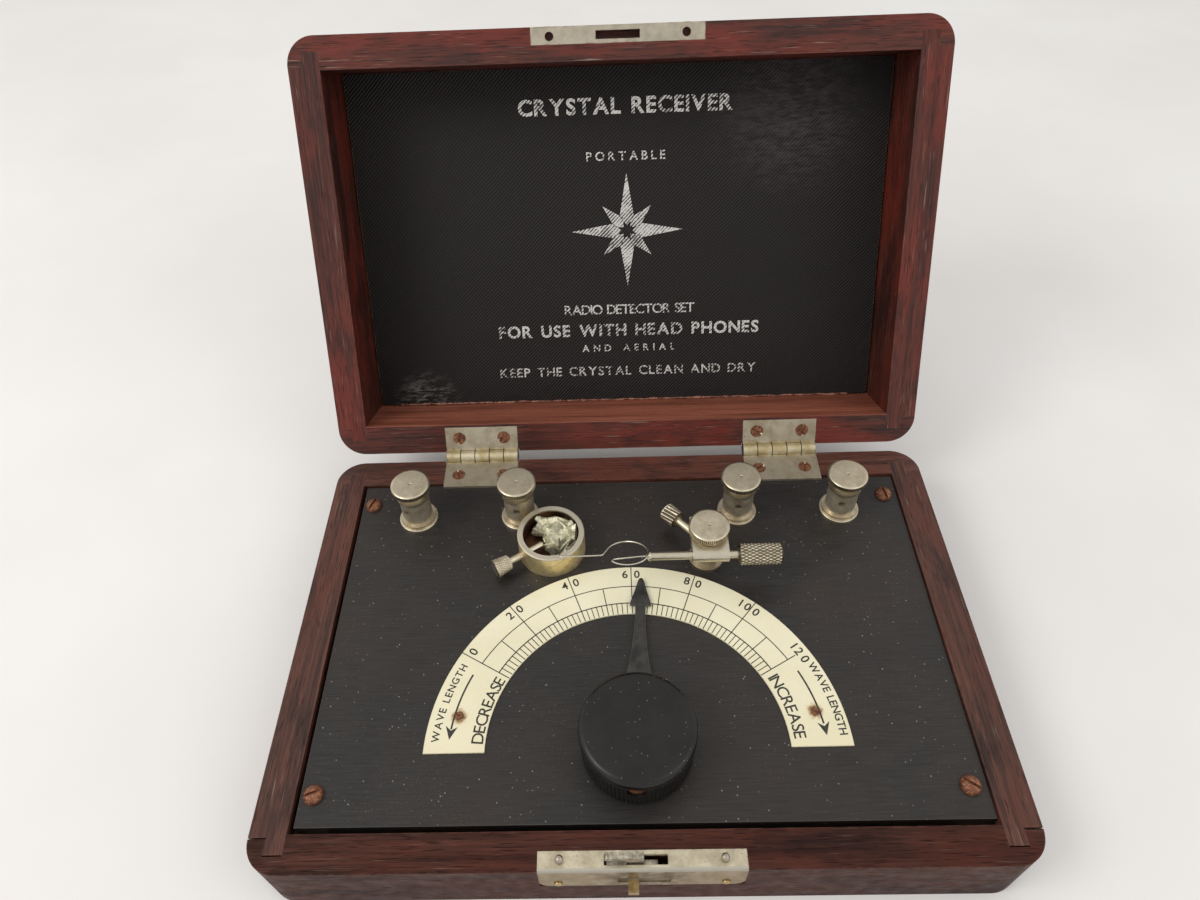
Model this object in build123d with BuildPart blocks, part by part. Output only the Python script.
from build123d import *
import os
from math import atan2, cos, degrees, radians, sin

# Crystal radio set in a hinged wooden case.  Millimetres, +X right, +Y to the hinges, +Z up.
# The origin is the centre of the case's underside.  The lid is drawn standing open.

os.makedirs("parts", exist_ok=True)

# ---------------------------------------------------------------- driving dimensions
case_width = 203.2
case_depth = 137.0
corner_radius = 9.0
board = 9.9                  # thickness of the front and side boards
back_board = 10.4
base_height = 23.0
bottom_thickness = 4.0
bottom_rabbet = 5.0          # the bottom board's edge stands this far inside the case's face
base_joint_gap = 0.35        # open crack in the shrunken front corner joints of the base
tight_joint_gap = 0.0
joint_shoulder = 1.1         # how far a side board's outer half runs into the end board
joint_tongue = 5.4           # how far its inner half runs in
tongue_share = 0.52          # the tongue is this share of the board's thickness

lid_wall = 25.0
lid_top = 5.0
lining_thickness = 1.5
cloth_thickness = 0.6
lining_gap = 0.4
lid_open = 116.7             # degrees from shut to the pose drawn here

rim_gap = 0.4                # between the two rims when the lid is shut
hinge_setback = 1.8          # pin axis behind the case's back face
knuckle_radius = 2.4
hinge_pin_radius = 1.1
knuckle_fit = 0.05
knuckle_clearance = 0.4      # around the knuckles, in the wood
knuckle_end_gap = 0.1
knuckle_count = 5
hinge_width = 25.6
leaf_thickness = 1.0
base_leaf_reach = 11.8       # leaf's length in from the case's back face
lid_leaf_reach = 9.3
hinge_left_x = -50.9
hinge_right_x = 54.6
hinge_screw_spacing = 15.8
wood_screw_head_radius = 2.3
wood_screw_radius = 1.2
wood_screw_length = 6.0
wood_screw_slot_width = 0.6
wood_screw_slot_depth = 0.5
leaf_screw_shift = 0.5       # screws sit this far beyond the middle of a leaf

panel_thickness = 4.8
panel_recess = 1.0
panel_gap_left = 1.1
panel_gap_right = 0.3
panel_gap_front = 1.8
panel_gap_back = 0.4
cleat_width = 9.0
panel_screw_side_inset = 4.7     # in from the inner faces of the boards
panel_screw_back_inset = 8.5
panel_screw_front_inset = 10.2
panel_screw_head_radius = 2.8
panel_screw_head_height = 1.9
panel_screw_radius = 1.6
panel_screw_length = 12.0
panel_screw_clearance = 0.2
slot_width = 0.8
slot_depth = 0.9

tuner_y = -37.0              # knob, scale and variometer share this centre, at X = 0
scale_outer = 59.0
scale_inner = 42.0
scale_thickness = 0.5
scale_drop = 0.5             # the scale's straight ends lie about this far in front of its centre
scale_cut_turn = 0.55        # degrees, and are cut a little askew
scale_turn = -0.35           # degrees, as fitted
scale_pin_x = 50.0
scale_pin_y = 9.8            # behind the scale's centre
scale_pin_radius = 0.6
scale_pin_head = 1.1
scale_pin_length = 4.0

pointer_turn = -3.9          # degrees from straight back, where the knob stands
shaft_radius = 3.17
shaft_fit = 0.05
bushing_wall = 1.6
bushing_flange_radius = 7.0
bushing_flange = 1.5
knob_radius = 15.8
knob_base = 1.2              # knob's underside above the panel
knob_top = 15.0              # knob's top above the panel
knob_edge = 1.8
knob_bore_depth = 9.0
pointer_thickness = 1.2
pointer_hub = 12.0
pointer_tip = 54.2
pointer_head_root = 44.6
pointer_head_half = 3.3
pointer_neck_half = 1.5
pointer_foot_half = 4.2
set_screw_radius = 2.4
set_screw_height = 8.6       # above the panel

coil_reach = 38.0            # coil centre from the shaft
moving_coil_radius = 22.0
fixed_coil_radius = 24.0
winding_inner = 10.0
winding_margin = 1.0
former_thickness = 1.5
fixed_winding = 3.0
moving_winding = 2.2
coil_gap = 1.0               # between the fixed winding and the moving former
hub_radius = 7.0
hub_gap = 0.3                # between the hub and the bushing
arm_half = 5.0
fixed_coil_turn = -60.0      # degrees from straight back

post_y = 44.0
post_x = [-70.5, -36.0, 36.6, 70.7]
post_hole_turn = [-28.0, -6.0, -7.0, -15.0]    # cross holes, degrees from facing the front
post_flange_radius = 6.5
post_flange = 1.2
post_ring_radius = 5.8
post_ring = 1.0
post_body_radius = 4.9
post_body_top = 12.2
post_lip_radius = 5.25
post_lip = 1.0
post_hole_radius = 1.2
post_hole_height = 8.2
post_head_radius = 6.35
post_head_top = 18.3
post_head_thickness = 2.3
post_neck_radius = 3.5
post_neck_gap = 0.2
post_screw_radius = 2.0
post_screw_fit = 0.05
stud_radius = 1.75
stud_length = 8.4            # below the panel's top
nut_flat = 3.25              # half the nuts' width across flats
nut_height = 2.4
tag_thickness = 0.5
tag_radius = 4.2
tag_length = 7.0
tag_half = 1.5

cup_x = -25.0
cup_y = 30.2
cup_radius = 10.8
cup_bore = 9.0
cup_height = 9.0
cup_floor = 1.5
cup_screw_turn = 212.0       # direction of the clamp screw from the cup's centre
cup_screw_height = 5.0
cup_screw_radius = 1.3
cup_screw_tip = 3.2          # from the cup's centre
cup_screw_head_start = 15.3
cup_screw_head = 5.4
thumb_head_radius = 3.0
screw_fit = 0.05

pillar_x = 24.6
pillar_y = 25.2
pillar_flange_radius = 5.5
pillar_flange = 1.3
pillar_radius = 4.2
pillar_top = 10.3
pillar_stud_radius = 2.0
pillar_stud_top = 16.9
clip_gap = 0.1
clip_half = 5.6
clip_back = 5.6
clip_bottom = 10.4
clip_top = 14.9
clip_slit = 0.5
clip_bridge = 2.0            # left whole behind the slit
cap_radius = 6.35
cap_bottom = 15.0
cap_top = 18.0
cap_blind = 1.0
lock_screw_turn = 131.5
lock_screw_height = 7.6
lock_screw_tip = 2.6
lock_screw_head_start = 12.8
lock_screw_head = 5.6
arm_offset = -7.5            # rod axis in front of the pillar's axis
arm_height = 12.65           # rod axis above the panel
rod_radius = 1.3
rod_fit = 0.05
rod_left = 6.4
handle_left = 32.9
handle_length = 13.4
handle_radius = 3.3
ferrule_radius = 1.7
ferrule_left = 4.6
whisker_radius = 0.25
whisker_loop_radius = 6.5
whisker_loop_x = -0.9
whisker_loop_tilt = 21.3     # degrees, front edge up
whisker_bend_x = -22.0
whisker_tip_y = 27.0
whisker_tip_height = 9.9

lock_half = 26.4
lock_depth = 5.0
lock_front = 11.5
lock_plate_thickness = 1.2
lock_slot_left = -9.6
lock_slot_right = 6.5
lock_slot_width = 2.4
lock_line = 2.7              # slot and guide pins behind the case's front face
guide_pin_x = 20.8
guide_pin_radius = 1.0
guide_pin_top = 2.2
guide_pin_length = 7.0
guide_hole_radius = 1.3
finger_slot_left = -6.2
finger_slot_right = 7.3
finger_slot_low_drop = 9.0   # drops are measured below the base's rim
finger_slot_high_drop = 5.6
latch_thickness = 1.6
latch_stem_left = -4.0
latch_stem_right = 0.4
latch_nose_left = -9.4
latch_nose_low = 1.9         # above the base's rim
latch_nose_high = 3.7
latch_body_left = -9.0
latch_body_right = 4.0
latch_body_low_drop = 11.5
latch_body_high_drop = 2.8
finger_left = -3.6
finger_right = -0.9
finger_reach = 3.2
latch_tail_radius = 0.8
latch_tail_length = 6.0
latch_room_left = -12.0
latch_room_right = 15.0
latch_room_drop = 12.4
latch_room_back = 4.8
spring_radius = 1.2
spring_wire = 0.2
spring_end_gap = 0.05        # between the spring's ends and what it presses on
spring_turns = 7
spring_drop = 7.4
lock_nail_radius = 0.8
lock_nail_x = 21.5
lock_nail_drop = 9.0
lock_nail_length = 7.0
strike_front = 8.0
strike_slot_half = 6.7
strike_nail_drop = 2.5       # nails in from the lower edge of the strike's front
strike_room_x = -1.5         # pocket in the wood behind the strike's slot
strike_room_width = 22.0
strike_room_depth = 6.0
nail_head_radius = 1.12
nail_head = 0.5

condenser_x = 53.5
condenser_y = 26.0
condenser_length = 27.0
condenser_width = 14.0
condenser_height = 4.0
condenser_lead_spread = 18.0
wire_radius = 0.45
wire_drop = 1.0              # of the leads below the panel's underside
wire_bend = 1.5
wide_wire_bend = 4.0
tag_run_gap = 3.0            # the lead behind the posts runs this far behind the tags
side_run_gap = 6.0           # the fixed coil's lead runs this far outside the last post
knob_run_gap = 8.0           # the lead to the shaft runs this far beside the second post

# ---------------------------------------------------------------- worked out from them
half_width = case_width / 2
half_depth = case_depth / 2
inner_front = -half_depth + board
inner_back = half_depth - back_board
inner_side = half_width - board
panel_top = base_height - panel_recess
panel_under = panel_top - panel_thickness
hinge_y = half_depth + hinge_setback
hinge_z = base_height + rim_gap / 2
latch_y = -half_depth + lock_line
arm_y = pillar_y + arm_offset
arm_z = panel_top + arm_height
nut_top = panel_under - tag_thickness
wire_height = panel_under - wire_drop
tag_wire_height = nut_top
panel_screw_x = inner_side - panel_screw_side_inset
panel_screw_back_y = inner_back - panel_screw_back_inset
panel_screw_front_y = inner_front + panel_screw_front_inset
finger_slot_low = base_height - finger_slot_low_drop
finger_slot_high = base_height - finger_slot_high_drop
latch_body_low = base_height - latch_body_low_drop
latch_body_high = base_height - latch_body_high_drop
latch_room_low = base_height - latch_room_drop
spring_height = base_height - spring_drop
lock_nail_z = base_height - lock_nail_drop


def turned(degrees):
    """Unit vector in plan, turned anticlockwise from straight back (+Y)."""
    return (-sin(radians(degrees)), cos(radians(degrees)))


def lid_level(height):
    """Sketch plane in the open lid: at height = 0 it holds the hinge pin's axis.

    Local +Y is the shut lid's +Y and local +Z is the shut lid's up.
    """
    up = (0, sin(radians(lid_open)), cos(radians(lid_open)))
    hinge = Plane(origin=(0, hinge_y, hinge_z), x_dir=(1, 0, 0), z_dir=up)
    return hinge.offset(height)


def base_level(height):
    return Plane.XY.offset(height)


def radial_plane(x, y, z, direction):
    """Plane whose normal points outward along a direction in plan, given in degrees from +X."""
    normal = (cos(radians(direction)), sin(radians(direction)), 0)
    return Plane(origin=(x, y, z), x_dir=(0, 0, 1), z_dir=normal)


# ---------------------------------------------------------------- the boards of base and lid

def side_outline(side, front_gap, shift):
    """Plan of a side board: a full-thickness shoulder and a half-thickness tongue at each end."""
    inner = side * inner_side
    middle = side * (half_width - board * (1 - tongue_share))
    outer = side * (half_width + 1)
    front_shoulder = inner_front - joint_shoulder + front_gap
    front_tongue = inner_front - joint_tongue + front_gap
    back_shoulder = inner_back + joint_shoulder
    back_tongue = inner_back + joint_tongue
    points = [(inner, front_tongue), (middle, front_tongue), (middle, front_shoulder),
              (outer, front_shoulder), (outer, back_shoulder), (middle, back_shoulder),
              (middle, back_tongue), (inner, back_tongue)]
    with BuildSketch() as plan:
        with BuildLine():
            Polyline([(x, y - shift) for x, y in points], close=True)
        make_face()
    return plan.sketch


def case_outline(shift):
    with BuildSketch() as plan:
        with Locations((0, -shift)):
            RectangleRounded(case_width, case_depth, corner_radius)
    return plan.sketch


def end_outline(end, shift):
    """Plan of the front (end = -1) or back (end = +1) board, with the sockets for the tongues."""
    thickness = board if end < 0 else back_board
    inner = inner_front if end < 0 else inner_back
    with BuildSketch() as plan:
        add(case_outline(shift))
        with Locations((0, inner + end * thickness / 2 - shift)):
            Rectangle(case_width + 2, thickness, mode=Mode.INTERSECT)
        for side in (-1, 1):
            add(side_outline(side, 0, shift), mode=Mode.SUBTRACT)
    return plan.sketch


def board_body(outline, plane, height):
    with BuildPart() as body:
        with BuildSketch(plane):
            add(outline)
        extrude(amount=height)
    return body.part


def side_plan(side, front_gap, shift):
    with BuildSketch() as plan:
        add(case_outline(shift))
        add(side_outline(side, front_gap, shift), mode=Mode.INTERSECT)
    return plan.sketch


# the bottom board, let into a rabbet round the underside
bottom_width = case_width - 2 * bottom_rabbet
bottom_depth = case_depth - 2 * bottom_rabbet
with BuildPart() as bottom_board:
    with BuildSketch(base_level(0)):
        Rectangle(bottom_width, bottom_depth)
    extrude(amount=bottom_thickness)
bottom_board.part.label = "base_bottom_board"
export_step(bottom_board.part, "parts/base_bottom_board.step")

for side, word in ((-1, "left"), (1, "right")):
    with BuildPart() as base_side:
        add(board_body(side_plan(side, base_joint_gap, 0), base_level(0), base_height))
        add(bottom_board.part, mode=Mode.SUBTRACT)
    base_side.part.label = f"base_{word}_board"
    export_step(base_side.part, f"parts/base_{word}_board.step")

with BuildPart() as base_front:
    add(board_body(end_outline(-1, 0), base_level(0), base_height))
    add(bottom_board.part, mode=Mode.SUBTRACT)
    # seat of the lock plate: a step along the top edge and one down the face
    with BuildSketch(base_level(base_height)):
        with Locations((0, -half_depth + lock_depth / 2)):
            Rectangle(2 * lock_half, lock_depth)
    extrude(amount=-lock_plate_thickness, mode=Mode.SUBTRACT)
    with BuildSketch(base_level(base_height - lock_front)):
        with Locations((0, -half_depth + lock_plate_thickness / 2)):
            Rectangle(2 * lock_half, lock_plate_thickness)
    extrude(amount=lock_front, mode=Mode.SUBTRACT)
    # room for the latch behind the plate
    with BuildSketch(base_level(latch_room_low)):
        with Locations(((latch_room_left + latch_room_right) / 2,
                        -half_depth + (lock_plate_thickness + latch_room_back) / 2)):
            Rectangle(latch_room_right - latch_room_left, latch_room_back - lock_plate_thickness)
    extrude(amount=base_height, mode=Mode.SUBTRACT)
    with BuildSketch(base_level(base_height)):
        with Locations((-guide_pin_x, latch_y), (guide_pin_x, latch_y)):
            Circle(guide_pin_radius)
    extrude(amount=-guide_pin_length, mode=Mode.SUBTRACT)
    with BuildSketch(Plane.XZ.offset(half_depth)):
        with Locations((-lock_nail_x, lock_nail_z), (lock_nail_x, lock_nail_z)):
            Circle(lock_nail_radius)
    extrude(amount=-lock_nail_length, mode=Mode.SUBTRACT)
base_front.part.label = "base_front_board"
export_step(base_front.part, "parts/base_front_board.step")

hinge_x = [hinge_left_x, hinge_right_x]
base_screw_y = half_depth - base_leaf_reach / 2 - leaf_screw_shift
screw_offsets = [-hinge_screw_spacing / 2, hinge_screw_spacing / 2]

# channels in the wood that let the knuckles turn, one at each hinge
with BuildPart() as knuckle_room:
    for x in hinge_x:
        channel_end = Plane(origin=(x - hinge_width / 2 - knuckle_clearance, hinge_y, hinge_z),
                            x_dir=(0, 1, 0), z_dir=(1, 0, 0))
        with BuildSketch(channel_end):
            Circle(knuckle_radius + knuckle_clearance)
        extrude(amount=hinge_width + 2 * knuckle_clearance)

with BuildPart() as base_back:
    add(board_body(end_outline(1, 0), base_level(0), base_height))
    add(bottom_board.part, mode=Mode.SUBTRACT)
    with BuildSketch(base_level(base_height)):
        with Locations(*[(x, half_depth - base_leaf_reach / 2 + 1) for x in hinge_x]):
            Rectangle(hinge_width, base_leaf_reach + 2)
    extrude(amount=-leaf_thickness, mode=Mode.SUBTRACT)
    with BuildSketch(base_level(base_height)):
        with Locations(*[(x + offset, base_screw_y) for x in hinge_x for offset in screw_offsets]):
            Circle(wood_screw_radius)
    extrude(amount=-wood_screw_length, mode=Mode.SUBTRACT)
    add(knuckle_room.part, mode=Mode.SUBTRACT)
base_back.part.label = "base_back_board"
export_step(base_back.part, "parts/base_back_board.step")

# cleats under the panel, along the side boards
cleat_length = inner_back - inner_front
panel_screws_at = [(side * panel_screw_x, y) for side in (-1, 1)
                   for y in (panel_screw_front_y, panel_screw_back_y)]
with BuildPart() as cleats:
    with BuildSketch(base_level(bottom_thickness)):
        with Locations(*[(side * (inner_side - cleat_width / 2), (inner_front + inner_back) / 2)
                         for side in (-1, 1)]):
            Rectangle(cleat_width, cleat_length)
    extrude(amount=panel_under - bottom_thickness)
    with BuildSketch(base_level(panel_under)):
        with Locations(*panel_screws_at):
            Circle(panel_screw_radius)
    extrude(amount=-(panel_screw_length - panel_thickness), mode=Mode.SUBTRACT)
cleats.part.label = "panel_cleats"
export_step(cleats.part, "parts/panel_cleats.step")

# ---------------------------------------------------------------- the panel and what is fixed to it
panel_left = -inner_side + panel_gap_left
panel_right = inner_side - panel_gap_right
panel_front = inner_front + panel_gap_front
panel_back = inner_back - panel_gap_back
bushing_radius = shaft_radius + bushing_wall
studs_at = [(x, post_y) for x in post_x] + [(cup_x, cup_y), (pillar_x, pillar_y)]
scale_plane = Plane(origin=(0, tuner_y, panel_top), z_dir=(0, 0, 1),
                    x_dir=(cos(radians(scale_turn)), sin(radians(scale_turn)), 0))
scale_pins_at = [(-scale_pin_x, scale_pin_y), (scale_pin_x, scale_pin_y)]

with BuildPart() as panel:
    with BuildSketch(base_level(panel_under)):
        with Locations(((panel_left + panel_right) / 2, (panel_front + panel_back) / 2)):
            Rectangle(panel_right - panel_left, panel_back - panel_front)
    extrude(amount=panel_thickness)
    with BuildSketch(base_level(panel_under)):
        with Locations(*studs_at):
            Circle(stud_radius)
        with Locations((0, tuner_y)):
            Circle(bushing_radius)
        with Locations(*panel_screws_at):
            Circle(panel_screw_radius + panel_screw_clearance)
    extrude(amount=panel_thickness, mode=Mode.SUBTRACT)
    with BuildSketch(scale_plane):
        with Locations(*scale_pins_at):
            Circle(scale_pin_radius)
    extrude(amount=-(scale_pin_length - scale_thickness), mode=Mode.SUBTRACT)
panel.part.label = "control_panel"
export_step(panel.part, "parts/control_panel.step")

with BuildPart() as panel_screws:
    with BuildSketch(base_level(panel_top)):
        with Locations(*panel_screws_at):
            Circle(panel_screw_head_radius)
    extrude(amount=panel_screw_head_height)
    fillet(panel_screws.edges().group_by(Axis.Z)[-1], panel_screw_head_height * 0.7)
    with BuildSketch(base_level(panel_top)):
        with Locations(*panel_screws_at):
            Circle(panel_screw_radius)
    extrude(amount=-panel_screw_length)
    with BuildSketch(base_level(panel_top + panel_screw_head_height)):
        with Locations(*[Location((x, y, 0), (0, 0, 25 + 40 * i))
                         for i, (x, y) in enumerate(panel_screws_at)]):
            Rectangle(3 * panel_screw_head_radius, slot_width)
    extrude(amount=-slot_depth, mode=Mode.SUBTRACT)
panel_screws.part.label = "panel_screws"
export_step(panel_screws.part, "parts/panel_screws.step")

# half-ring scale, pinned to the panel
with BuildPart() as dial_scale:
    with BuildSketch(scale_plane):
        Circle(scale_outer)
        Circle(scale_inner, mode=Mode.SUBTRACT)
        with Locations(Location((0, -scale_drop - scale_outer, 0), (0, 0, scale_cut_turn))):
            Rectangle(3 * scale_outer, 2 * scale_outer, mode=Mode.SUBTRACT)
        with Locations(*scale_pins_at):
            Circle(scale_pin_radius, mode=Mode.SUBTRACT)
    extrude(amount=scale_thickness)
dial_scale.part.label = "dial_scale"
export_step(dial_scale.part, "parts/dial_scale.step")

with BuildPart() as scale_pins:
    with BuildSketch(scale_plane.offset(scale_thickness)):
        with Locations(*scale_pins_at):
            Circle(scale_pin_head)
    extrude(amount=scale_thickness)
    fillet(scale_pins.edges().group_by(Axis.Z)[-1], scale_thickness * 0.6)
    with BuildSketch(scale_plane.offset(scale_thickness)):
        with Locations(*scale_pins_at):
            Circle(scale_pin_radius)
    extrude(amount=-scale_pin_length)
scale_pins.part.label = "dial_pins"
export_step(scale_pins.part, "parts/dial_pins.step")

# bushing of the tuning shaft, pressed in from below
with BuildPart() as bushing:
    with BuildSketch(base_level(panel_under)):
        with Locations((0, tuner_y)):
            Circle(bushing_radius)
    extrude(amount=panel_thickness)
    with BuildSketch(base_level(panel_under)):
        with Locations((0, tuner_y)):
            Circle(bushing_flange_radius)
    extrude(amount=-bushing_flange)
    with Locations((0, tuner_y, panel_top)):
        Hole(shaft_radius + shaft_fit)
bushing.part.label = "shaft_bushing"
export_step(bushing.part, "parts/shaft_bushing.step")

# ---------------------------------------------------------------- the tuning knob and variometer
pointer_bottom = panel_top + knob_base
turn_x, turn_y = turned(pointer_turn)
pointer_plane = Plane(origin=(0, tuner_y, pointer_bottom), z_dir=(0, 0, 1),
                      x_dir=(turn_y, -turn_x, 0))
tip_round = 0.9
with BuildPart() as pointer:
    with BuildSketch(pointer_plane):
        Circle(pointer_hub)
        with BuildLine():
            Polyline((pointer_foot_half, 0), (pointer_foot_half, pointer_hub),
                     (pointer_neck_half, pointer_head_root), (pointer_head_half, pointer_head_root),
                     (tip_round, pointer_tip - tip_round))
            ThreePointArc((tip_round, pointer_tip - tip_round), (0, pointer_tip),
                          (-tip_round, pointer_tip - tip_round))
            Polyline((-tip_round, pointer_tip - tip_round), (-pointer_head_half, pointer_head_root),
                     (-pointer_neck_half, pointer_head_root), (-pointer_foot_half, pointer_hub),
                     (-pointer_foot_half, 0), (pointer_foot_half, 0))
        make_face()
        Circle(shaft_radius, mode=Mode.SUBTRACT)
    extrude(amount=pointer_thickness)
pointer.part.label = "tuning_pointer"
export_step(pointer.part, "parts/tuning_pointer.step")

shaft_top = panel_top + knob_base + pointer_thickness + knob_bore_depth
set_screw_plane = radial_plane(0, tuner_y, panel_top + set_screw_height, 270 + pointer_turn)
with BuildPart() as knob:
    with BuildSketch(pointer_plane):
        Circle(knob_radius)
    extrude(amount=knob_top - knob_base)
    fillet(knob.edges().group_by(Axis.Z)[-1], knob_edge)
    # recess for the pointer's hub, open towards its stem
    with BuildSketch(pointer_plane):
        Circle(pointer_hub)
        with Locations((0, knob_radius / 2)):
            Rectangle(2 * pointer_foot_half, knob_radius)
    extrude(amount=pointer_thickness, mode=Mode.SUBTRACT)
    with BuildSketch(pointer_plane):
        Circle(shaft_radius)
    extrude(amount=shaft_top - pointer_bottom, mode=Mode.SUBTRACT)
    with BuildSketch(set_screw_plane):
        Circle(set_screw_radius)
    extrude(amount=knob_radius + 1, mode=Mode.SUBTRACT)
knob.part.label = "tuning_knob"
export_step(knob.part, "parts/tuning_knob.step")

with BuildPart() as set_screw:
    with BuildSketch(set_screw_plane.offset(shaft_radius)):
        Circle(set_screw_radius)
    extrude(amount=knob_radius - shaft_radius - 0.6)
    with BuildSketch(set_screw_plane.offset(knob_radius - 0.6)):
        Rectangle(4 * set_screw_radius, slot_width)
    extrude(amount=-slot_depth, mode=Mode.SUBTRACT)
set_screw.part.label = "knob_set_screw"
export_step(set_screw.part, "parts/knob_set_screw.step")

fixed_former_bottom = bottom_thickness
fixed_winding_bottom = fixed_former_bottom + former_thickness
moving_former_bottom = fixed_winding_bottom + fixed_winding + coil_gap
hub_top = panel_under - bushing_flange - hub_gap
shaft_bottom = moving_former_bottom - coil_gap / 2

with BuildPart() as shaft:
    with BuildSketch(base_level(shaft_bottom)):
        with Locations((0, tuner_y)):
            Circle(shaft_radius)
    extrude(amount=shaft_top - shaft_bottom)
shaft.part.label = "tuner_shaft"
export_step(shaft.part, "parts/tuner_shaft.step")


def coil_plane(turn, height):
    """Plane at a coil's centre, its local +Y pointing away from the shaft."""
    x, y = turned(turn)
    return Plane(origin=(coil_reach * x, tuner_y + coil_reach * y, height),
                 z_dir=(0, 0, 1), x_dir=(y, -x, 0))


with BuildPart() as moving_former:
    with BuildSketch(coil_plane(pointer_turn, moving_former_bottom)):
        Circle(moving_coil_radius)
        with Locations((0, -coil_reach / 2)):
            Rectangle(2 * arm_half, coil_reach)
        with Locations((0, -coil_reach)):
            Circle(hub_radius)
            Circle(shaft_radius, mode=Mode.SUBTRACT)
    extrude(amount=former_thickness)
    with BuildSketch(base_level(moving_former_bottom)):
        with Locations((0, tuner_y)):
            Circle(hub_radius)
            Circle(shaft_radius, mode=Mode.SUBTRACT)
    extrude(amount=hub_top - moving_former_bottom)
moving_former.part.label = "moving_coil_former"
export_step(moving_former.part, "parts/moving_coil_former.step")

with BuildPart() as moving_coil:
    with BuildSketch(coil_plane(pointer_turn, moving_former_bottom + former_thickness)):
        Circle(moving_coil_radius - winding_margin)
        Circle(winding_inner, mode=Mode.SUBTRACT)
    extrude(amount=moving_winding)
moving_coil.part.label = "moving_coil_winding"
export_step(moving_coil.part, "parts/moving_coil_winding.step")

with BuildPart() as fixed_former:
    with BuildSketch(coil_plane(fixed_coil_turn, fixed_former_bottom)):
        Circle(fixed_coil_radius)
    extrude(amount=former_thickness)
fixed_former.part.label = "fixed_coil_former"
export_step(fixed_former.part, "parts/fixed_coil_former.step")

with BuildPart() as fixed_coil:
    with BuildSketch(coil_plane(fixed_coil_turn, fixed_winding_bottom)):
        Circle(fixed_coil_radius - winding_margin)
        Circle(winding_inner, mode=Mode.SUBTRACT)
    extrude(amount=fixed_winding)
fixed_coil.part.label = "fixed_coil_winding"
export_step(fixed_coil.part, "parts/fixed_coil_winding.step")

# ---------------------------------------------------------------- binding posts
body_top = panel_top + post_body_top
with BuildPart() as post_bodies:
    with BuildSketch(base_level(panel_top)):
        with Locations(*studs_at[:4]):
            Circle(post_flange_radius)
    extrude(amount=post_flange)
    fillet(post_bodies.edges().group_by(Axis.Z)[-1], 0.4)
    with BuildSketch(base_level(panel_top)):
        with Locations(*studs_at[:4]):
            Circle(post_ring_radius)
    extrude(amount=post_flange + post_ring)
    with BuildSketch(base_level(panel_top)):
        with Locations(*studs_at[:4]):
            Circle(post_body_radius)
    extrude(amount=post_body_top)
    with BuildSketch(base_level(body_top)):
        with Locations(*studs_at[:4]):
            Circle(post_lip_radius)
    extrude(amount=post_lip)
    with BuildSketch(base_level(panel_top)):
        with Locations(*studs_at[:4]):
            Circle(stud_radius)
    extrude(amount=-stud_length)
    # the bore that the head's screw turns in, down to the cross hole
    with BuildSketch(base_level(body_top + post_lip)):
        with Locations(*studs_at[:4]):
            Circle(post_screw_radius)
    extrude(amount=-(post_body_top + post_lip - post_hole_height), mode=Mode.SUBTRACT)
    for x, hole_turn in zip(post_x, post_hole_turn):
        with BuildSketch(radial_plane(x, post_y, panel_top + post_hole_height, 270 + hole_turn)):
            Circle(post_hole_radius)
        extrude(amount=post_body_radius + 1, both=True, mode=Mode.SUBTRACT)
post_bodies.part.label = "binding_post_bodies"
export_step(post_bodies.part, "parts/binding_post_bodies.step")

head_bottom = panel_top + post_head_top - post_head_thickness
screw_end = panel_top + post_hole_height + post_hole_radius + post_neck_gap
for number, x in enumerate(post_x, start=1):
    with BuildPart() as post_head:
        with BuildSketch(base_level(head_bottom)):
            with Locations((x, post_y)):
                Circle(post_head_radius)
        extrude(amount=post_head_thickness)
        fillet(post_head.edges().group_by(Axis.Z)[-1], 0.4)
        with BuildSketch(base_level(body_top + post_lip + post_neck_gap)):
            with Locations((x, post_y)):
                Circle(post_neck_radius)
        extrude(until=Until.NEXT)
        with BuildSketch(base_level(screw_end)):
            with Locations((x, post_y)):
                Circle(post_screw_radius - post_screw_fit)
        extrude(amount=head_bottom - screw_end)
    post_head.part.label = f"post_head_{number}"
    export_step(post_head.part, f"parts/post_head_{number}.step")

# solder tags and nuts on the studs, under the panel
def facing(stud, other):
    """Direction in plan from one stud to another, in degrees from +X."""
    return degrees(atan2(other[1] - stud[1], other[0] - stud[0]))


post_1, post_2, post_3, post_4, cup_stud, pillar_stud = studs_at
tag_turns = [90.0, facing(post_2, cup_stud), facing(post_3, pillar_stud), 90.0,
             facing(cup_stud, post_2), facing(pillar_stud, post_3)]
with BuildPart() as solder_tags:
    for (x, y), direction in zip(studs_at, tag_turns):
        tag_plane = Plane(origin=(x, y, nut_top), z_dir=(0, 0, 1),
                          x_dir=(cos(radians(direction)), sin(radians(direction)), 0))
        with BuildSketch(tag_plane):
            Circle(tag_radius)
            with Locations((tag_length / 2, 0)):
                Rectangle(tag_length, 2 * tag_half)
            Circle(stud_radius, mode=Mode.SUBTRACT)
        extrude(amount=tag_thickness)
solder_tags.part.label = "solder_tags"
export_step(solder_tags.part, "parts/solder_tags.step")

with BuildPart() as stud_nuts:
    with BuildSketch(base_level(nut_top)):
        with Locations(*studs_at):
            RegularPolygon(nut_flat, 6, major_radius=False, rotation=30)
            Circle(stud_radius, mode=Mode.SUBTRACT)
    extrude(amount=-nut_height)
stud_nuts.part.label = "stud_nuts"
export_step(stud_nuts.part, "parts/stud_nuts.step")

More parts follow.
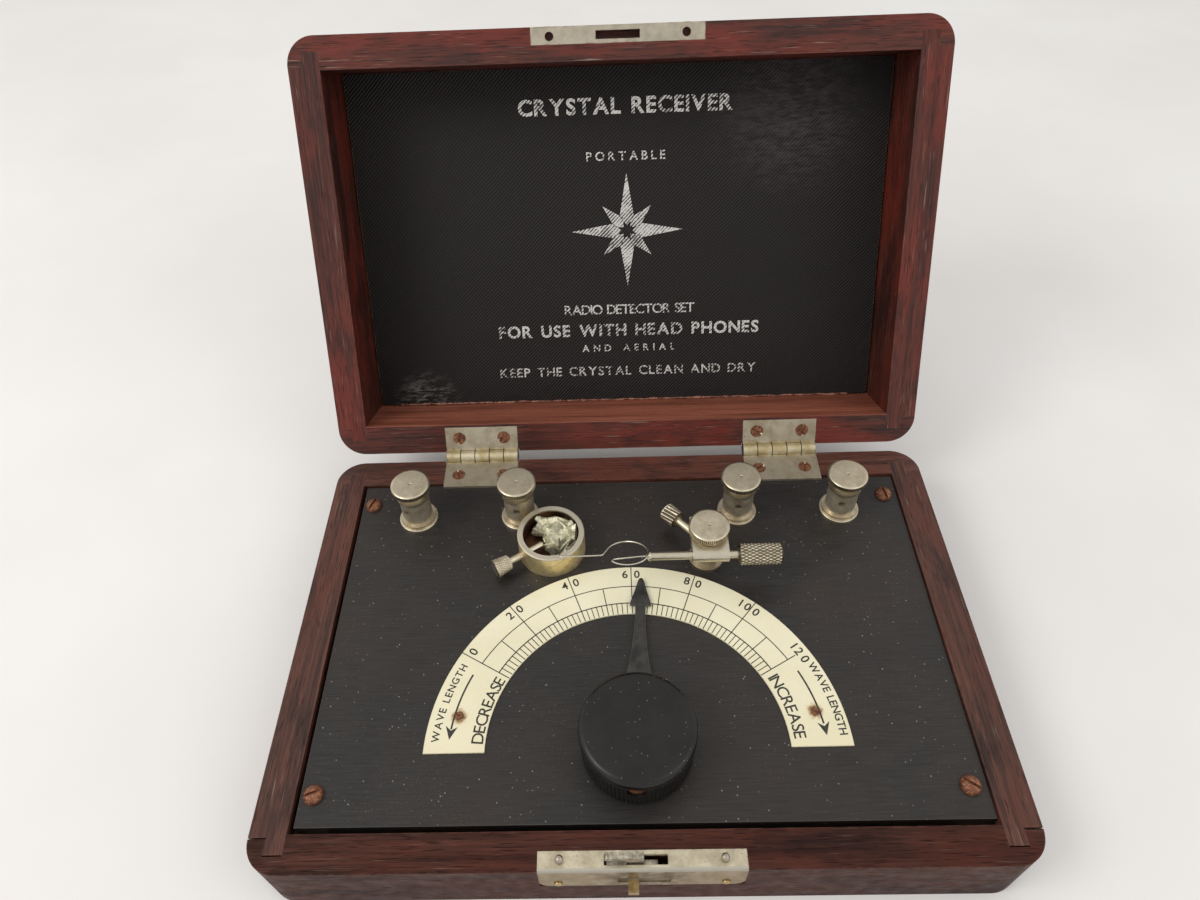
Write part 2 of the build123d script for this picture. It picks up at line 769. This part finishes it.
# ---------------------------------------------------------------- crystal cup
cup_screw_plane = radial_plane(cup_x, cup_y, panel_top + cup_screw_height, cup_screw_turn)
with BuildPart() as cup:
    with BuildSketch(base_level(panel_top)):
        with Locations((cup_x, cup_y)):
            Circle(cup_radius)
    extrude(amount=cup_height)
    fillet(cup.edges().group_by(Axis.Z)[-1], 0.3)
    with BuildSketch(base_level(panel_top + cup_floor)):
        with Locations((cup_x, cup_y)):
            Circle(cup_bore)
    extrude(amount=cup_height, mode=Mode.SUBTRACT)
    with BuildSketch(base_level(panel_top)):
        with Locations((cup_x, cup_y)):
            Circle(stud_radius)
    extrude(amount=-stud_length)
    with BuildSketch(cup_screw_plane):
        Circle(cup_screw_radius + screw_fit)
    extrude(amount=cup_radius + 1, mode=Mode.SUBTRACT)
cup.part.label = "crystal_cup"
export_step(cup.part, "parts/crystal_cup.step")

with BuildPart() as cup_screw:
    with BuildSketch(cup_screw_plane.offset(cup_screw_tip)):
        Circle(cup_screw_radius)
    extrude(amount=cup_screw_head_start - cup_screw_tip)
    with BuildSketch(cup_screw_plane.offset(cup_screw_head_start)):
        Circle(thumb_head_radius)
    extrude(amount=cup_screw_head)
cup_screw.part.label = "cup_clamp_screw"
export_step(cup_screw.part, "parts/cup_clamp_screw.step")

# lump of galena, as rough sections from the cup's floor up; each is (angle, radius) pairs
crystal_x = cup_x + 1.2
crystal_y = cup_y + 1.4
crystal_sections = [
    (cup_floor, [(20, 4.6), (80, 5.0), (140, 4.4), (215, 1.2), (270, 4.0), (320, 4.6)]),
    (cup_floor + 4.0, [(15, 6.6), (75, 6.8), (130, 6.4), (200, 2.6), (275, 6.0), (325, 6.4)]),
    (cup_floor + 7.4, [(30, 6.0), (85, 6.2), (150, 5.2), (215, 2.4), (290, 3.8), (340, 5.2)]),
]
with BuildPart() as crystal:
    for height, corners in crystal_sections:
        with BuildSketch(base_level(panel_top + height)):
            with BuildLine():
                Polyline([(crystal_x + r * cos(radians(a)), crystal_y + r * sin(radians(a)))
                          for a, r in corners], close=True)
            make_face()
    loft(ruled=True)
crystal.part.label = "crystal"
export_step(crystal.part, "parts/crystal.step")

# ---------------------------------------------------------------- detector post, clip and arm
lock_screw_plane = radial_plane(pillar_x, pillar_y, panel_top + lock_screw_height, lock_screw_turn)
with BuildPart() as pillar:
    with BuildSketch(base_level(panel_top)):
        with Locations((pillar_x, pillar_y)):
            Circle(pillar_flange_radius)
    extrude(amount=pillar_flange)
    with BuildSketch(base_level(panel_top)):
        with Locations((pillar_x, pillar_y)):
            Circle(pillar_radius)
    extrude(amount=pillar_top)
    with BuildSketch(base_level(panel_top)):
        with Locations((pillar_x, pillar_y)):
            Circle(pillar_stud_radius)
    extrude(amount=pillar_stud_top)
    with BuildSketch(base_level(panel_top)):
        with Locations((pillar_x, pillar_y)):
            Circle(stud_radius)
    extrude(amount=-stud_length)
    with BuildSketch(lock_screw_plane.offset(lock_screw_tip - clip_gap)):
        Circle(cup_screw_radius + screw_fit)
    extrude(amount=pillar_radius, mode=Mode.SUBTRACT)
pillar.part.label = "detector_post"
export_step(pillar.part, "parts/detector_post.step")

with BuildPart() as lock_screw:
    with BuildSketch(lock_screw_plane.offset(lock_screw_tip)):
        Circle(cup_screw_radius)
    extrude(amount=lock_screw_head_start - lock_screw_tip)
    with BuildSketch(lock_screw_plane.offset(lock_screw_head_start)):
        Circle(thumb_head_radius)
    extrude(amount=lock_screw_head)
lock_screw.part.label = "detector_lock_screw"
export_step(lock_screw.part, "parts/detector_lock_screw.step")

# the clip: a block rounded over the rod at its front, slit between the rod and the pillar's stud
clip_end = Plane(origin=(pillar_x - clip_half, arm_y, arm_z), x_dir=(0, 1, 0), z_dir=(1, 0, 0))
clip_low = panel_top + clip_bottom
clip_high = panel_top + clip_top
clip_depth = clip_back - arm_offset
with BuildPart() as clip:
    with BuildSketch(clip_end):
        Circle((clip_top - clip_bottom) / 2)
        with Locations((clip_depth / 2, 0)):
            Rectangle(clip_depth, clip_top - clip_bottom)
        Circle(rod_radius + rod_fit, mode=Mode.SUBTRACT)
        with Locations((clip_depth / 2, 0)):
            Rectangle(clip_depth, clip_slit, mode=Mode.SUBTRACT)
        with Locations((clip_depth - clip_bridge / 2, 0)):
            Rectangle(clip_bridge, 2 * clip_slit)
    extrude(amount=2 * clip_half)
    with BuildSketch(base_level(clip_low)):
        with Locations((pillar_x, pillar_y)):
            Circle(pillar_stud_radius + screw_fit)
    extrude(amount=clip_top, mode=Mode.SUBTRACT)
clip.part.label = "arm_clip"
export_step(clip.part, "parts/arm_clip.step")

with BuildPart() as cap:
    with BuildSketch(base_level(panel_top + cap_bottom)):
        with Locations((pillar_x, pillar_y)):
            Circle(cap_radius)
    extrude(amount=cap_top - cap_bottom)
    fillet(cap.edges().group_by(Axis.Z)[-1], 0.4)
    with BuildSketch(base_level(panel_top + cap_bottom)):
        with Locations((pillar_x, pillar_y)):
            Circle(pillar_stud_radius + screw_fit)
    extrude(amount=cap_top - cap_bottom - cap_blind, mode=Mode.SUBTRACT)
cap.part.label = "clip_cap_nut"
export_step(cap.part, "parts/clip_cap_nut.step")


def arm_section(x):
    """Plane across the detector arm at X = x, its local x along +Y."""
    return Plane(origin=(x, arm_y, arm_z), x_dir=(0, 1, 0), z_dir=(1, 0, 0))


with BuildPart() as rod:
    with BuildSketch(arm_section(rod_left)):
        Circle(rod_radius)
    extrude(amount=handle_left - rod_left)
rod.part.label = "arm_rod"
export_step(rod.part, "parts/arm_rod.step")

with BuildPart() as handle:
    with BuildSketch(arm_section(handle_left)):
        Circle(handle_radius)
    extrude(amount=handle_length)
    chamfer(handle.edges().filter_by(GeomType.CIRCLE), 0.5)
handle.part.label = "arm_handle"
export_step(handle.part, "parts/arm_handle.step")

with BuildPart() as ferrule:
    with BuildSketch(arm_section(rod_left)):
        Circle(ferrule_radius)
    extrude(amount=ferrule_left - rod_left)
    fillet(ferrule.edges().sort_by(Axis.X)[0], 0.8)
ferrule.part.label = "whisker_ferrule"
export_step(ferrule.part, "parts/whisker_ferrule.step")

# the whisker: out of the ferrule, once round a rising loop that clears the ferrule, straight on,
# and over to the crystal; each loop entry is (angle, lift), 0 degrees to the right, 90 at the back
loop_centre_y = arm_y + 1.4
tilt_cos = cos(radians(whisker_loop_tilt))
tilt_sin = sin(radians(whisker_loop_tilt))
loop_lean = 0.7              # how far the loop comes forward as it is lifted


def loop_point(angle, lift):
    across = whisker_loop_radius * cos(radians(angle))
    along = whisker_loop_radius * sin(radians(angle))
    return (whisker_loop_x + across, loop_centre_y + along * tilt_cos - lift * loop_lean,
            arm_z - along * tilt_sin + lift)


whisker_route = [(ferrule_left, arm_y, arm_z)]
whisker_route += [loop_point(angle, lift) for angle, lift in (
    (215, 0), (255, 0.2), (295, 0.9), (335, 1.7), (0, 2.4), (30, 2.6), (62, 2.0), (95, 1.2),
    (135, 0.3))]
whisker_route += [(whisker_loop_x - whisker_loop_radius - 1.2, arm_y + 0.9, arm_z - 0.2),
                  (whisker_bend_x, arm_y + 0.9, arm_z - 0.5),
                  (whisker_bend_x, whisker_tip_y, panel_top + whisker_tip_height)]
with BuildPart() as whisker:
    with BuildLine() as whisker_line:
        FilletPolyline(*whisker_route, radius=0.8)
    first_run = whisker_line.line
    with BuildSketch(Plane(origin=first_run @ 0, z_dir=first_run % 0)):
        Circle(whisker_radius)
    sweep(transition=Transition.ROUND)
whisker.part.label = "cat_whisker"
export_step(whisker.part, "parts/cat_whisker.step")

# ---------------------------------------------------------------- hinges
knuckle_length = hinge_width / knuckle_count


def leaf_part(x, reach, knuckles, on_lid):
    """One leaf with its knuckles, in pin coordinates: y is 0 at the pin, the rim is at -/+ half a gap."""
    level = lid_level(0) if on_lid else Plane(origin=(0, hinge_y, hinge_z), z_dir=(0, 0, 1))
    side = 1 if on_lid else -1
    rim = side * rim_gap / 2
    length = reach + hinge_setback
    screw_y = -hinge_setback - reach / 2 - leaf_screw_shift
    with BuildPart() as leaf:
        with BuildSketch(level.offset(rim)):
            with Locations((x, -length / 2)):
                Rectangle(hinge_width, length)
        extrude(amount=side * leaf_thickness)
        for index in range(knuckle_count):
            start = x - hinge_width / 2 + index * knuckle_length + knuckle_end_gap / 2
            end_plane = Plane(origin=level.from_local_coords(Vector(start, 0, 0)),
                              x_dir=level.y_dir, z_dir=(1, 0, 0))
            ours = index in knuckles
            with BuildSketch(end_plane):
                Circle(knuckle_radius if ours else knuckle_radius + knuckle_end_gap)
            if ours:
                extrude(amount=knuckle_length - knuckle_end_gap)
            else:
                extrude(amount=knuckle_length, mode=Mode.SUBTRACT)
        bore_plane = Plane(origin=level.from_local_coords(Vector(x - hinge_width / 2 - 1, 0, 0)),
                           x_dir=level.y_dir, z_dir=(1, 0, 0))
        with BuildSketch(bore_plane):
            Circle(hinge_pin_radius + (knuckle_fit if on_lid else 0))
        extrude(amount=hinge_width + 2, mode=Mode.SUBTRACT)
        for offset in screw_offsets:
            with BuildSketch(level.offset(rim)):
                with Locations((x + offset, screw_y)):
                    Circle(wood_screw_head_radius)
            with BuildSketch(level.offset(rim + side * leaf_thickness)):
                with Locations((x + offset, screw_y)):
                    Circle(wood_screw_radius)
            loft(mode=Mode.SUBTRACT)
    return leaf.part


for x, word in ((hinge_left_x, "left"), (hinge_right_x, "right")):
    with BuildPart() as base_leaf:
        add(leaf_part(x, base_leaf_reach, (1, 3), False))
    base_leaf.part.label = f"hinge_{word}_base_leaf"
    export_step(base_leaf.part, f"parts/hinge_{word}_base_leaf.step")
    with BuildPart() as lid_leaf:
        add(leaf_part(x, lid_leaf_reach, (0, 2, 4), True))
    lid_leaf.part.label = f"hinge_{word}_lid_leaf"
    export_step(lid_leaf.part, f"parts/hinge_{word}_lid_leaf.step")

with BuildPart() as hinge_pins:
    for x in hinge_x:
        with BuildSketch(Plane(origin=(x - hinge_width / 2, hinge_y, hinge_z),
                               x_dir=(0, 1, 0), z_dir=(1, 0, 0))):
            Circle(hinge_pin_radius)
        extrude(amount=hinge_width)
hinge_pins.part.label = "hinge_pins"
export_step(hinge_pins.part, "parts/hinge_pins.step")


def wood_screws(level, rim, side, screw_y):
    """The four countersunk screws of the two leaves on one side of the hinges."""
    with BuildPart() as screws:
        for x in hinge_x:
            for offset in screw_offsets:
                with BuildSketch(level.offset(rim)):
                    with Locations((x + offset, screw_y)):
                        Circle(wood_screw_head_radius)
                with BuildSketch(level.offset(rim + side * leaf_thickness)):
                    with Locations((x + offset, screw_y)):
                        Circle(wood_screw_radius)
                loft()
                with BuildSketch(level.offset(rim + side * leaf_thickness)):
                    with Locations((x + offset, screw_y)):
                        Circle(wood_screw_radius)
                extrude(amount=side * (wood_screw_length - leaf_thickness))
                with BuildSketch(level.offset(rim)):
                    with Locations(Location((x + offset, screw_y, 0), (0, 0, x + 3 * offset))):
                        Rectangle(3 * wood_screw_head_radius, wood_screw_slot_width)
                extrude(amount=side * wood_screw_slot_depth, mode=Mode.SUBTRACT)
    return screws.part


pin_level = Plane(origin=(0, hinge_y, hinge_z), z_dir=(0, 0, 1))
with BuildPart() as base_screws:
    add(wood_screws(pin_level, -rim_gap / 2, -1, base_screw_y - hinge_y))
base_screws.part.label = "hinge_base_screws"
export_step(base_screws.part, "parts/hinge_base_screws.step")
lid_screw_y = -hinge_setback - lid_leaf_reach / 2 - leaf_screw_shift
with BuildPart() as lid_screws:
    add(wood_screws(lid_level(0), rim_gap / 2, 1, lid_screw_y))
lid_screws.part.label = "hinge_lid_screws"
export_step(lid_screws.part, "parts/hinge_lid_screws.step")

# ---------------------------------------------------------------- lid, drawn in its own open frame
lid_rim = rim_gap / 2
lid_under_top = lid_rim + lid_wall

for side, word in ((-1, "left"), (1, "right")):
    with BuildPart() as lid_side:
        add(board_body(side_plan(side, tight_joint_gap, hinge_y), lid_level(lid_rim), lid_wall))
    lid_side.part.label = f"lid_{word}_board"
    export_step(lid_side.part, f"parts/lid_{word}_board.step")

lid_front_face = -half_depth - hinge_y       # local y of the lid's front face
lid_latch_y = latch_y - hinge_y
front_face_plane = Plane(origin=lid_level(0).from_local_coords(Vector(0, lid_front_face, 0)),
                         x_dir=(1, 0, 0), z_dir=lid_level(0).y_dir)
strike_nails_at = [(x, -(lid_rim + strike_front - strike_nail_drop))
                   for x in (-lock_nail_x, lock_nail_x)]
with BuildPart() as lid_front:
    add(board_body(end_outline(-1, hinge_y), lid_level(lid_rim), lid_wall))
    with BuildSketch(lid_level(lid_rim)):
        with Locations((0, lid_front_face + lock_depth / 2)):
            Rectangle(2 * lock_half, lock_depth)
    extrude(amount=lock_plate_thickness, mode=Mode.SUBTRACT)
    with BuildSketch(lid_level(lid_rim)):
        with Locations((0, lid_front_face + lock_plate_thickness / 2)):
            Rectangle(2 * lock_half, lock_plate_thickness)
    extrude(amount=strike_front, mode=Mode.SUBTRACT)
    with BuildSketch(lid_level(lid_rim)):
        with Locations((strike_room_x,
                        lid_front_face + (lock_plate_thickness + latch_room_back) / 2)):
            Rectangle(strike_room_width, latch_room_back - lock_plate_thickness)
    extrude(amount=strike_room_depth, mode=Mode.SUBTRACT)
    with BuildSketch(lid_level(lid_rim)):
        with Locations((-guide_pin_x, lid_latch_y), (guide_pin_x, lid_latch_y)):
            Circle(guide_hole_radius)
    extrude(amount=guide_pin_top + 1, mode=Mode.SUBTRACT)
    with BuildSketch(front_face_plane):
        with Locations(*strike_nails_at):
            Circle(lock_nail_radius)
    extrude(amount=lock_nail_length, mode=Mode.SUBTRACT)
lid_front.part.label = "lid_front_board"
export_step(lid_front.part, "parts/lid_front_board.step")

with BuildPart() as lid_back:
    add(board_body(end_outline(1, hinge_y), lid_level(lid_rim), lid_wall))
    with BuildSketch(lid_level(lid_rim)):
        with Locations(*[(x, -hinge_setback - lid_leaf_reach / 2 + 1) for x in hinge_x]):
            Rectangle(hinge_width, lid_leaf_reach + 2)
    extrude(amount=leaf_thickness, mode=Mode.SUBTRACT)
    with BuildSketch(lid_level(lid_rim)):
        with Locations(*[(x + offset, lid_screw_y) for x in hinge_x for offset in screw_offsets]):
            Circle(wood_screw_radius)
    extrude(amount=wood_screw_length, mode=Mode.SUBTRACT)
    add(knuckle_room.part, mode=Mode.SUBTRACT)
lid_back.part.label = "lid_back_board"
export_step(lid_back.part, "parts/lid_back_board.step")

with BuildPart() as lid_panel:
    add(board_body(case_outline(hinge_y), lid_level(lid_under_top), lid_top))
    fillet(lid_panel.faces().sort_by(Axis((0, 0, 0), tuple(lid_level(0).z_dir)))[-1].edges(), 1.2)
lid_panel.part.label = "lid_top_board"
export_step(lid_panel.part, "parts/lid_top_board.step")

lining_width = 2 * (inner_side - lining_gap)
lining_depth = inner_back - inner_front - 2 * lining_gap
lining_y = (inner_back + inner_front) / 2 - hinge_y
with BuildPart() as lining:
    with BuildSketch(lid_level(lid_under_top)):
        with Locations((0, lining_y)):
            Rectangle(lining_width, lining_depth)
    extrude(amount=-lining_thickness)
lining.part.label = "lining_board"
export_step(lining.part, "parts/lining_board.step")

with BuildPart() as cloth:
    with BuildSketch(lid_level(lid_under_top - lining_thickness)):
        with Locations((0, lining_y)):
            Rectangle(lining_width, lining_depth)
    extrude(amount=-cloth_thickness)
cloth.part.label = "lining_cloth"
export_step(cloth.part, "parts/lining_cloth.step")

# ---------------------------------------------------------------- lock on the base, strike on the lid
with BuildPart() as lock_plate:
    with BuildSketch(base_level(base_height)):
        with Locations((0, -half_depth + lock_depth / 2)):
            Rectangle(2 * lock_half, lock_depth)
    extrude(amount=-lock_plate_thickness)
    with BuildSketch(base_level(base_height - lock_front)):
        with Locations((0, -half_depth + lock_plate_thickness / 2)):
            Rectangle(2 * lock_half, lock_plate_thickness)
    extrude(amount=lock_front)
    fillet(lock_plate.edges().filter_by(Axis.X).sort_by(Axis.Y)[:2].sort_by(Axis.Z)[-1], 0.8)
    fillet(lock_plate.edges().filter_by(Axis.Y).group_by(Axis.Z)[0], 3.0)
    with BuildSketch(base_level(base_height)):
        with Locations(((lock_slot_left + lock_slot_right) / 2, latch_y)):
            Rectangle(lock_slot_right - lock_slot_left, lock_slot_width)
        with Locations((-guide_pin_x, latch_y), (guide_pin_x, latch_y)):
            Circle(guide_pin_radius)
    extrude(amount=-lock_plate_thickness, mode=Mode.SUBTRACT)
    with BuildSketch(Plane.XZ.offset(half_depth)):
        with Locations(((finger_slot_left + finger_slot_right) / 2,
                        (finger_slot_low + finger_slot_high) / 2)):
            Rectangle(finger_slot_right - finger_slot_left, finger_slot_high - finger_slot_low)
        with Locations((-lock_nail_x, lock_nail_z), (lock_nail_x, lock_nail_z)):
            Circle(lock_nail_radius)
    extrude(amount=-lock_plate_thickness, mode=Mode.SUBTRACT)
lock_plate.part.label = "lock_plate"
export_step(lock_plate.part, "parts/lock_plate.step")

with BuildPart() as guide_pins:
    with BuildSketch(base_level(base_height - guide_pin_length)):
        with Locations((-guide_pin_x, latch_y), (guide_pin_x, latch_y)):
            Circle(guide_pin_radius)
    extrude(amount=guide_pin_length + guide_pin_top)
    fillet(guide_pins.edges().group_by(Axis.Z)[-1], guide_pin_radius * 0.8)
guide_pins.part.label = "lock_guide_pins"
export_step(guide_pins.part, "parts/lock_guide_pins.step")

with BuildPart() as lock_nails:
    with BuildSketch(Plane.XZ.offset(half_depth)):
        with Locations((-lock_nail_x, lock_nail_z), (lock_nail_x, lock_nail_z)):
            Circle(nail_head_radius)
    extrude(amount=nail_head)
    with BuildSketch(Plane.XZ.offset(half_depth)):
        with Locations((-lock_nail_x, lock_nail_z), (lock_nail_x, lock_nail_z)):
            Circle(lock_nail_radius)
    extrude(amount=-lock_nail_length)
lock_nails.part.label = "lock_nails"
export_step(lock_nails.part, "parts/lock_nails.step")

# the latch: a flat hook with a finger piece in front and a tail inside its spring
nose_round = (latch_nose_high - latch_nose_low) * 0.45
with BuildPart() as latch:
    with BuildSketch(Plane.XZ.offset(-latch_y - latch_thickness / 2)):
        with Locations(((latch_body_left + latch_body_right) / 2,
                        (latch_body_low + latch_body_high) / 2)):
            Rectangle(latch_body_right - latch_body_left, latch_body_high - latch_body_low)
        with Locations(((latch_stem_left + latch_stem_right) / 2,
                        (latch_body_high + base_height + latch_nose_high) / 2)):
            Rectangle(latch_stem_right - latch_stem_left,
                      base_height + latch_nose_high - latch_body_high)
        with Locations(((latch_nose_left + latch_stem_right) / 2,
                        base_height + (latch_nose_low + latch_nose_high) / 2)):
            Rectangle(latch_stem_right - latch_nose_left, latch_nose_high - latch_nose_low)
    extrude(amount=latch_thickness)
    fillet(latch.edges().filter_by(Axis.Y).sort_by(Axis.X)[:1], nose_round)
    with BuildSketch(Plane.XZ.offset(-latch_y)):
        with Locations(((finger_left + finger_right) / 2, (finger_slot_low + finger_slot_high) / 2)):
            Rectangle(finger_right - finger_left, finger_slot_high - finger_slot_low - 1.0)
    extrude(amount=lock_line + finger_reach)
    tail_plane = Plane(origin=(latch_body_right, latch_y, spring_height),
                       x_dir=(0, 1, 0), z_dir=(1, 0, 0))
    with BuildSketch(tail_plane):
        Circle(latch_tail_radius)
    extrude(amount=latch_tail_length)
latch.part.label = "latch_hook"
export_step(latch.part, "parts/latch_hook.step")

spring_length = latch_room_right - latch_body_right - 2 * (spring_wire + spring_end_gap)
spring_pitch = spring_length / spring_turns
spring_start = (latch_body_right + spring_wire + spring_end_gap, latch_y, spring_height)
with BuildPart() as spring:
    with BuildLine() as spring_line:
        Helix(pitch=spring_pitch, height=spring_length, radius=spring_radius,
              center=spring_start, direction=(1, 0, 0))
    with BuildSketch(Plane(origin=spring_line.line @ 0, z_dir=spring_line.line % 0)):
        Circle(spring_wire)
    sweep(is_frenet=True)
spring.part.label = "latch_spring"
export_step(spring.part, "parts/latch_spring.step")

with BuildPart() as strike:
    with BuildSketch(lid_level(lid_rim)):
        with Locations((0, lid_front_face + lock_depth / 2)):
            Rectangle(2 * lock_half, lock_depth)
    extrude(amount=lock_plate_thickness)
    with BuildSketch(lid_level(lid_rim)):
        with Locations((0, lid_front_face + lock_plate_thickness / 2)):
            Rectangle(2 * lock_half, lock_plate_thickness)
    extrude(amount=strike_front)
    with BuildSketch(lid_level(lid_rim)):
        with Locations((0, lid_latch_y)):
            Rectangle(2 * strike_slot_half, lock_slot_width)
        with Locations((-guide_pin_x, lid_latch_y), (guide_pin_x, lid_latch_y)):
            Circle(guide_hole_radius)
    extrude(amount=lock_plate_thickness, mode=Mode.SUBTRACT)
    with BuildSketch(front_face_plane):
        with Locations(*strike_nails_at):
            Circle(lock_nail_radius)
    extrude(amount=lock_plate_thickness, mode=Mode.SUBTRACT)
strike.part.label = "strike_plate"
export_step(strike.part, "parts/strike_plate.step")

with BuildPart() as strike_nails:
    with BuildSketch(front_face_plane):
        with Locations(*strike_nails_at):
            Circle(lock_nail_radius)
    extrude(amount=lock_nail_length)
    with BuildSketch(front_face_plane):
        with Locations(*strike_nails_at):
            Circle(nail_head_radius)
    extrude(amount=-nail_head)
strike_nails.part.label = "strike_nails"
export_step(strike_nails.part, "parts/strike_nails.step")

# ---------------------------------------------------------------- condenser and leads under the panel
with BuildPart() as condenser:
    with BuildSketch(base_level(panel_under)):
        with Locations((condenser_x, condenser_y)):
            RectangleRounded(condenser_length, condenser_width, 1.0)
    extrude(amount=-condenser_height)
condenser.part.label = "phone_condenser"
export_step(condenser.part, "parts/phone_condenser.step")


def lead(points, radius):
    """Round wire along straight runs joined by arcs."""
    with BuildPart() as wire:
        with BuildLine() as route:
            if len(points) > 2:
                FilletPolyline(*points, radius=radius)
            else:
                Line(*points)
        with BuildSketch(Plane(origin=route.line @ 0, z_dir=route.line % 0)):
            Circle(wire_radius)
        sweep()
    return wire.part


def tag_end(stud, direction):
    x, y = stud
    return (x + tag_length * cos(radians(direction)), y + tag_length * sin(radians(direction)),
            tag_wire_height)


back_run = post_y + tag_length + tag_run_gap
nut_side_left = post_x[1] - nut_flat
condenser_back = condenser_y + condenser_width / 2
coil_x, coil_y = turned(fixed_coil_turn)
coil_edge = coil_reach * coil_x + fixed_coil_radius
coil_lead_y = tuner_y + coil_reach * coil_y
coil_lead_z = fixed_former_bottom + former_thickness / 2
side_run = post_x[3] + side_run_gap
knob_run = nut_side_left - knob_run_gap
lead_x = [condenser_x - condenser_lead_spread / 2, condenser_x + condenser_lead_spread / 2]
with BuildPart() as bus_wires:
    add(lead([tag_end(post_2, tag_turns[1]), tag_end(cup_stud, tag_turns[4])], wire_bend))
    add(lead([tag_end(pillar_stud, tag_turns[5]), tag_end(post_3, tag_turns[2])], wire_bend))
    add(lead([tag_end(post_1, tag_turns[0]), (post_x[0], back_run, tag_wire_height),
              (post_x[3], back_run, tag_wire_height), tag_end(post_4, tag_turns[3])], wire_bend))
    add(lead([(post_x[2] + nut_flat, post_y, wire_height), (lead_x[0], post_y, wire_height),
              (lead_x[0], condenser_back, wire_height)], wire_bend))
    add(lead([(post_x[3] - nut_flat, post_y, wire_height), (lead_x[1], post_y, wire_height),
              (lead_x[1], condenser_back, wire_height)], wire_bend))
    add(lead([(nut_side_left, post_y, wire_height), (knob_run, post_y, wire_height),
              (knob_run, tuner_y, wire_height),
              (-bushing_flange_radius, tuner_y, wire_height)], wide_wire_bend))
    add(lead([(coil_edge, coil_lead_y, coil_lead_z), (side_run, coil_lead_y, coil_lead_z),
              (side_run, coil_lead_y, wire_height), (side_run, post_y, wire_height),
              (post_x[3] + nut_flat, post_y, wire_height)], wire_bend))
bus_wires.part.label = "bus_wires"
export_step(bus_wires.part, "parts/bus_wires.step")
